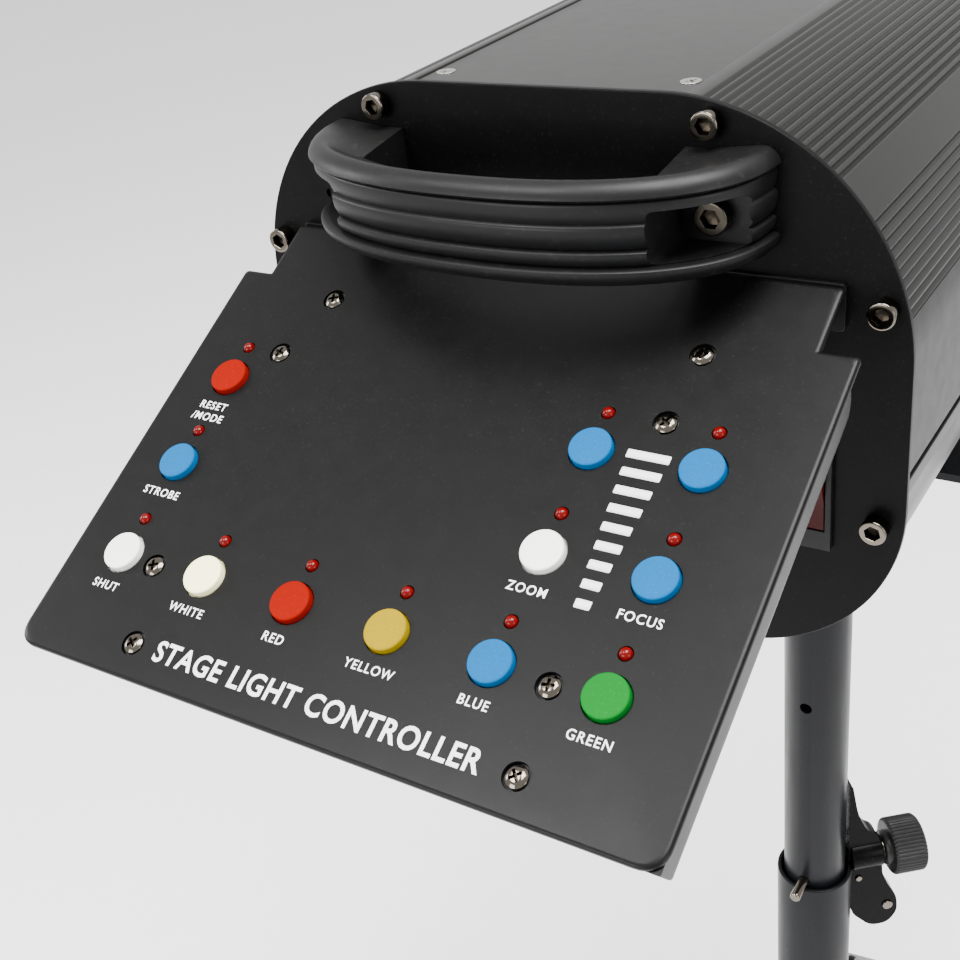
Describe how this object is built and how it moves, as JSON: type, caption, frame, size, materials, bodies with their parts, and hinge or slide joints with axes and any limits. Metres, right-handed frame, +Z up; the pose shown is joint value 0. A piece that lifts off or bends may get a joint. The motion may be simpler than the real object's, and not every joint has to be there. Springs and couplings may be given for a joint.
{
  "type": "follow spot",
  "caption": "Stage follow spot: ribbed black housing with lens barrel, sloping control panel and rear handle, in a yoke on a telescopic mast with a folding tripod.",
  "frame": {"origin": "on the floor, under the mast's axis, which is the centre of the object's base", "axes": "+Z up along the mast, +Y along the beam with the head level and facing forward, +X to the operator's right"},
  "size_m": [0.859, 0.9798, 1.362],
  "materials": {
    "plate_coat": "satin",
    "housing_coat": "satin",
    "moulded_black": "satin",
    "circuit_board": "matte",
    "lens_glass": "gloss",
    "bare_aluminium": "satin",
    "steel_black": "satin",
    "nickel": "satin",
    "switch_red": "gloss",
    "cap_red": "satin",
    "cap_blue": "satin",
    "cap_white": "satin",
    "cap_cream": "satin",
    "cap_yellow": "satin",
    "cap_green": "satin",
    "led_red": "gloss",
    "print_white": "matte",
    "foot_rubber": "matte"
  },
  "bodies": {
    "stand": {"mast_outer": "steel_black", "leg_hub": "steel_black"},
    "spreader": {"spreader_hub": "steel_black"},
    "leg_1": {"leg_1": "steel_black"},
    "strut_1": {"strut_1": "steel_black"},
    "leg_2": {"leg_2": "steel_black"},
    "strut_2": {"strut_2": "steel_black"},
    "leg_3": {"leg_3": "steel_black"},
    "strut_3": {"strut_3": "steel_black"},
    "mast": {"mast_inner": "steel_black"},
    "mast_knob": {"mast_knob": "moulded_black"},
    "lock_pin": {"lock_pin": "nickel"},
    "pan_knob": {"pan_knob": "moulded_black"},
    "yoke": {"yoke_bracket": "steel_black", "yoke_spigot": "steel_black"},
    "tilt_knob_left": {"tilt_knob_left": "moulded_black"},
    "tilt_knob_right": {"tilt_knob_right": "moulded_black"},
    "head": {"rear_plate": "plate_coat", "front_plate": "plate_coat", "top_cover": "housing_coat", "bottom_cover": "housing_coat", "upper_profile_left": "housing_coat", "upper_profile_right": "housing_coat", "side_panel_left": "housing_coat", "side_panel_right": "housing_coat", "lower_profile_left": "housing_coat", "lower_profile_right": "housing_coat", "rear_handle": "moulded_black", "control_panel": "plate_coat", "control_box": "plate_coat", "control_board": "circuit_board", "power_inlet": "moulded_black", "data_sockets": "moulded_black", "lens_tube": "housing_coat", "lens_bezel": "housing_coat", "front_lens": "lens_glass", "chassis": "bare_aluminium", "guide_rod_left": "nickel", "guide_rod_right": "nickel", "wheel_motor": "steel_black", "led_engine": "bare_aluminium", "fan_frame": "moulded_black", "power_supply": "bare_aluminium"},
    "rocker": {"rocker_switch": "switch_red"},
    "fan": {"fan_rotor": "moulded_black"},
    "colour_wheel": {"colour_wheel": "bare_aluminium"},
    "zoom_carriage": {"zoom_carriage": "bare_aluminium"},
    "focus_carriage": {"focus_carriage": "bare_aluminium"},
    "button_reset": {"button_reset": "cap_red"},
    "button_strobe": {"button_strobe": "cap_blue"},
    "button_shut": {"button_shut": "cap_white"},
    "button_white": {"button_white": "cap_cream"},
    "button_red": {"button_red": "cap_red"},
    "button_yellow": {"button_yellow": "cap_yellow"},
    "button_blue": {"button_blue": "cap_blue"},
    "button_green": {"button_green": "cap_green"},
    "button_zoom": {"button_zoom": "cap_white"},
    "button_focus": {"button_focus": "cap_blue"},
    "button_zoom_step": {"button_zoom_step": "cap_blue"},
    "button_focus_step": {"button_focus_step": "cap_blue"}
  },
  "joints": [
    {"name": "spreader_slide", "type": "slide", "parent": "stand", "child": "spreader", "axis": [0, 0, -1], "range_m": [0, 0.11]},
    {"name": "leg_1_fold", "type": "hinge", "parent": "stand", "child": "leg_1", "pos_m": [0, 0.048, 0.52], "axis": [-1, 0, 0], "range_deg": [0, 34]},
    {"name": "strut_1_fold", "type": "hinge", "parent": "leg_1", "child": "strut_1", "pos_m": [0, 0.20227, 0.33615], "axis": [-1, 0, 0], "range_deg": [-68, 0]},
    {"name": "leg_2_fold", "type": "hinge", "parent": "stand", "child": "leg_2", "pos_m": [-0.04157, -0.024, 0.52], "axis": [0.5, -0.866, 0], "range_deg": [0, 34]},
    {"name": "strut_2_fold", "type": "hinge", "parent": "leg_2", "child": "strut_2", "pos_m": [-0.17517, -0.10113, 0.33615], "axis": [0.5, -0.866, 0], "range_deg": [-68, 0]},
    {"name": "leg_3_fold", "type": "hinge", "parent": "stand", "child": "leg_3", "pos_m": [0.04157, -0.024, 0.52], "axis": [0.5, 0.866, 0], "range_deg": [0, 34]},
    {"name": "strut_3_fold", "type": "hinge", "parent": "leg_3", "child": "strut_3", "pos_m": [0.17517, -0.10113, 0.33615], "axis": [0.5, 0.866, 0], "range_deg": [-68, 0]},
    {"name": "mast_height", "type": "slide", "parent": "stand", "child": "mast", "axis": [0, 0, 1], "range_m": [0, 0.3]},
    {"name": "mast_knob_turn", "type": "hinge", "parent": "stand", "child": "mast_knob", "pos_m": [0.04386, 0.03641, 0.69], "axis": [0.7694, 0.6388, 0], "range_deg": [0, 270]},
    {"name": "lock_pin_pull", "type": "slide", "parent": "mast", "child": "lock_pin", "axis": [0, -1, 0], "range_m": [0, 0.055]},
    {"name": "pan_knob_turn", "type": "hinge", "parent": "mast", "child": "pan_knob", "pos_m": [-0.041, 0, 1.027], "axis": [-1, 0, 0], "range_deg": [0, 270]},
    {"name": "yoke_pan", "type": "hinge", "parent": "mast", "child": "yoke", "pos_m": [0, 0, 1.05], "axis": [0, 0, 1], "continuous": true},
    {"name": "head_tilt", "type": "hinge", "parent": "yoke", "child": "head", "pos_m": [0, 0, 1.25], "axis": [1, 0, 0], "range_deg": [-40, 40]},
    {"name": "tilt_knob_left_turn", "type": "hinge", "parent": "yoke", "child": "tilt_knob_left", "pos_m": [-0.16, 0, 1.25], "axis": [-1, 0, 0], "range_deg": [0, 180]},
    {"name": "tilt_knob_right_turn", "type": "hinge", "parent": "yoke", "child": "tilt_knob_right", "pos_m": [0.16, 0, 1.25], "axis": [1, 0, 0], "range_deg": [0, 180]},
    {"name": "rocker_tip", "type": "hinge", "parent": "head", "child": "rocker", "pos_m": [0.104, -0.3, 1.216], "axis": [1, 0, 0], "range_deg": [-20, 0]},
    {"name": "fan_spin", "type": "hinge", "parent": "head", "child": "fan", "pos_m": [0, -0.249, 1.25], "axis": [0, 1, 0], "continuous": true},
    {"name": "colour_wheel_turn", "type": "hinge", "parent": "head", "child": "colour_wheel", "pos_m": [0.052, -0.061, 1.23], "axis": [0, 1, 0], "continuous": true},
    {"name": "zoom_travel", "type": "slide", "parent": "head", "child": "zoom_carriage", "axis": [0, 1, 0], "range_m": [-0.05, 0.03]},
    {"name": "focus_travel", "type": "slide", "parent": "head", "child": "focus_carriage", "axis": [0, 1, 0], "range_m": [-0.03, 0.07]},
    {"name": "button_reset_press", "type": "slide", "parent": "head", "child": "button_reset", "axis": [0, 0.4695, -0.8829], "range_m": [0, 0.002], "stiffness_N_per_m": 500},
    {"name": "button_strobe_press", "type": "slide", "parent": "head", "child": "button_strobe", "axis": [0, 0.4695, -0.8829], "range_m": [0, 0.002], "stiffness_N_per_m": 500},
    {"name": "button_shut_press", "type": "slide", "parent": "head", "child": "button_shut", "axis": [0, 0.4695, -0.8829], "range_m": [0, 0.002], "stiffness_N_per_m": 500},
    {"name": "button_white_press", "type": "slide", "parent": "head", "child": "button_white", "axis": [0, 0.4695, -0.8829], "range_m": [0, 0.002], "stiffness_N_per_m": 500},
    {"name": "button_red_press", "type": "slide", "parent": "head", "child": "button_red", "axis": [0, 0.4695, -0.8829], "range_m": [0, 0.002], "stiffness_N_per_m": 500},
    {"name": "button_yellow_press", "type": "slide", "parent": "head", "child": "button_yellow", "axis": [0, 0.4695, -0.8829], "range_m": [0, 0.002], "stiffness_N_per_m": 500},
    {"name": "button_blue_press", "type": "slide", "parent": "head", "child": "button_blue", "axis": [0, 0.4695, -0.8829], "range_m": [0, 0.002], "stiffness_N_per_m": 500},
    {"name": "button_green_press", "type": "slide", "parent": "head", "child": "button_green", "axis": [0, 0.4695, -0.8829], "range_m": [0, 0.002], "stiffness_N_per_m": 500},
    {"name": "button_zoom_press", "type": "slide", "parent": "head", "child": "button_zoom", "axis": [0, 0.4695, -0.8829], "range_m": [0, 0.002], "stiffness_N_per_m": 500},
    {"name": "button_focus_press", "type": "slide", "parent": "head", "child": "button_focus", "axis": [0, 0.4695, -0.8829], "range_m": [0, 0.002], "stiffness_N_per_m": 500},
    {"name": "button_zoom_step_press", "type": "slide", "parent": "head", "child": "button_zoom_step", "axis": [0, 0.4695, -0.8829], "range_m": [0, 0.002], "stiffness_N_per_m": 500},
    {"name": "button_focus_step_press", "type": "slide", "parent": "head", "child": "button_focus_step", "axis": [0, 0.4695, -0.8829], "range_m": [0, 0.002], "stiffness_N_per_m": 500}
  ],
  "couplings": [
    {"joint": "spreader_slide", "follows": "leg_1_fold", "m_per_rad": 0.18481},
    {"joint": "strut_1_fold", "follows": "leg_1_fold", "ratio": -2},
    {"joint": "leg_2_fold", "follows": "leg_1_fold", "ratio": 1},
    {"joint": "strut_2_fold", "follows": "leg_1_fold", "ratio": -2},
    {"joint": "leg_3_fold", "follows": "leg_1_fold", "ratio": 1},
    {"joint": "strut_3_fold", "follows": "leg_1_fold", "ratio": -2}
  ]
}
